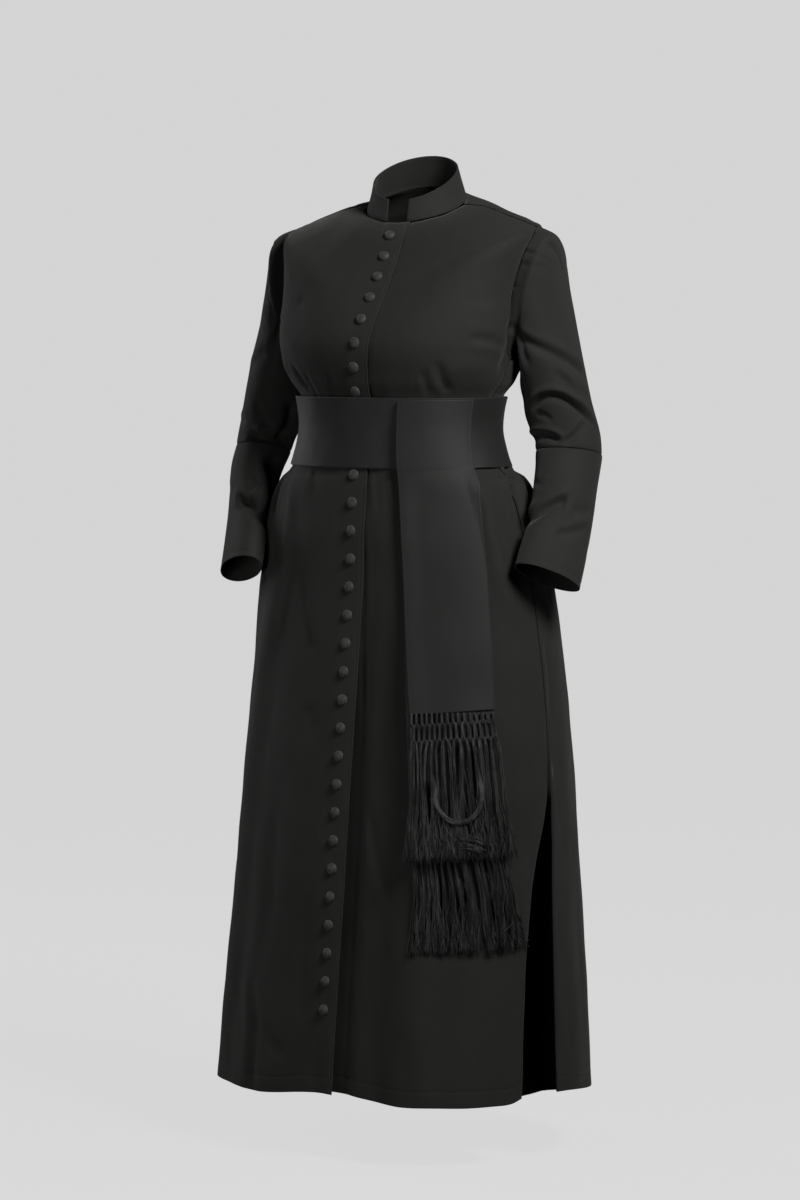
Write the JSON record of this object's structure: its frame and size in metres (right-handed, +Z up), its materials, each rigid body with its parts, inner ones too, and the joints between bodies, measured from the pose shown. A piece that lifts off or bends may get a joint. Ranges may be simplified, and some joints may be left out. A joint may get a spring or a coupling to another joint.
{
  "type": "cassock with band cincture",
  "caption": "Long worn clergy coat, open and hollow, buttoned down the front, with stand collar, deep cuffs and a fringed sash round the waist.",
  "frame": {"origin": "the middle of the neck at the height of the neck seam's sides, where the wearer's neck and shoulders hold the garment up", "axes": "+Z up; the garment's front faces -Y; +X is the wearer's left"},
  "size_m": [0.6027, 0.4612, 1.3892],
  "materials": {
    "worsted": "matt black worsted twill with a faint sheen",
    "faille": "black faille with fine cross ribs, a little brighter than the coat",
    "fringe_thread": "black twisted silky thread",
    "button_cloth": "black satin-faced cloth drawn over a domed mould"
  },
  "bodies": {
    "root": {"front_right": "worsted", "front_left": "worsted", "back_left": "worsted", "back_right": "worsted", "collar": "worsted", "sleeve_left": "worsted", "sleeve_right": "worsted", "cuff_left": "worsted", "cuff_right": "worsted", "cincture_band": "faille", "tail_back": "faille", "tail_front": "faille", "fringe_back": "fringe_thread", "fringe_front": "fringe_thread", "button_01": "button_cloth", "button_02": "button_cloth", "button_03": "button_cloth", "button_04": "button_cloth", "button_05": "button_cloth", "button_06": "button_cloth", "button_07": "button_cloth", "button_08": "button_cloth", "button_09": "button_cloth", "button_10": "button_cloth", "button_11": "button_cloth", "button_12": "button_cloth", "button_13": "button_cloth", "button_14": "button_cloth", "button_15": "button_cloth", "button_16": "button_cloth", "button_17": "button_cloth", "button_18": "button_cloth", "button_19": "button_cloth", "button_20": "button_cloth", "button_21": "button_cloth", "button_22": "button_cloth", "button_23": "button_cloth", "button_24": "button_cloth", "button_25": "button_cloth", "button_26": "button_cloth", "button_27": "button_cloth", "button_28": "button_cloth"}
  },
  "joints": []
}
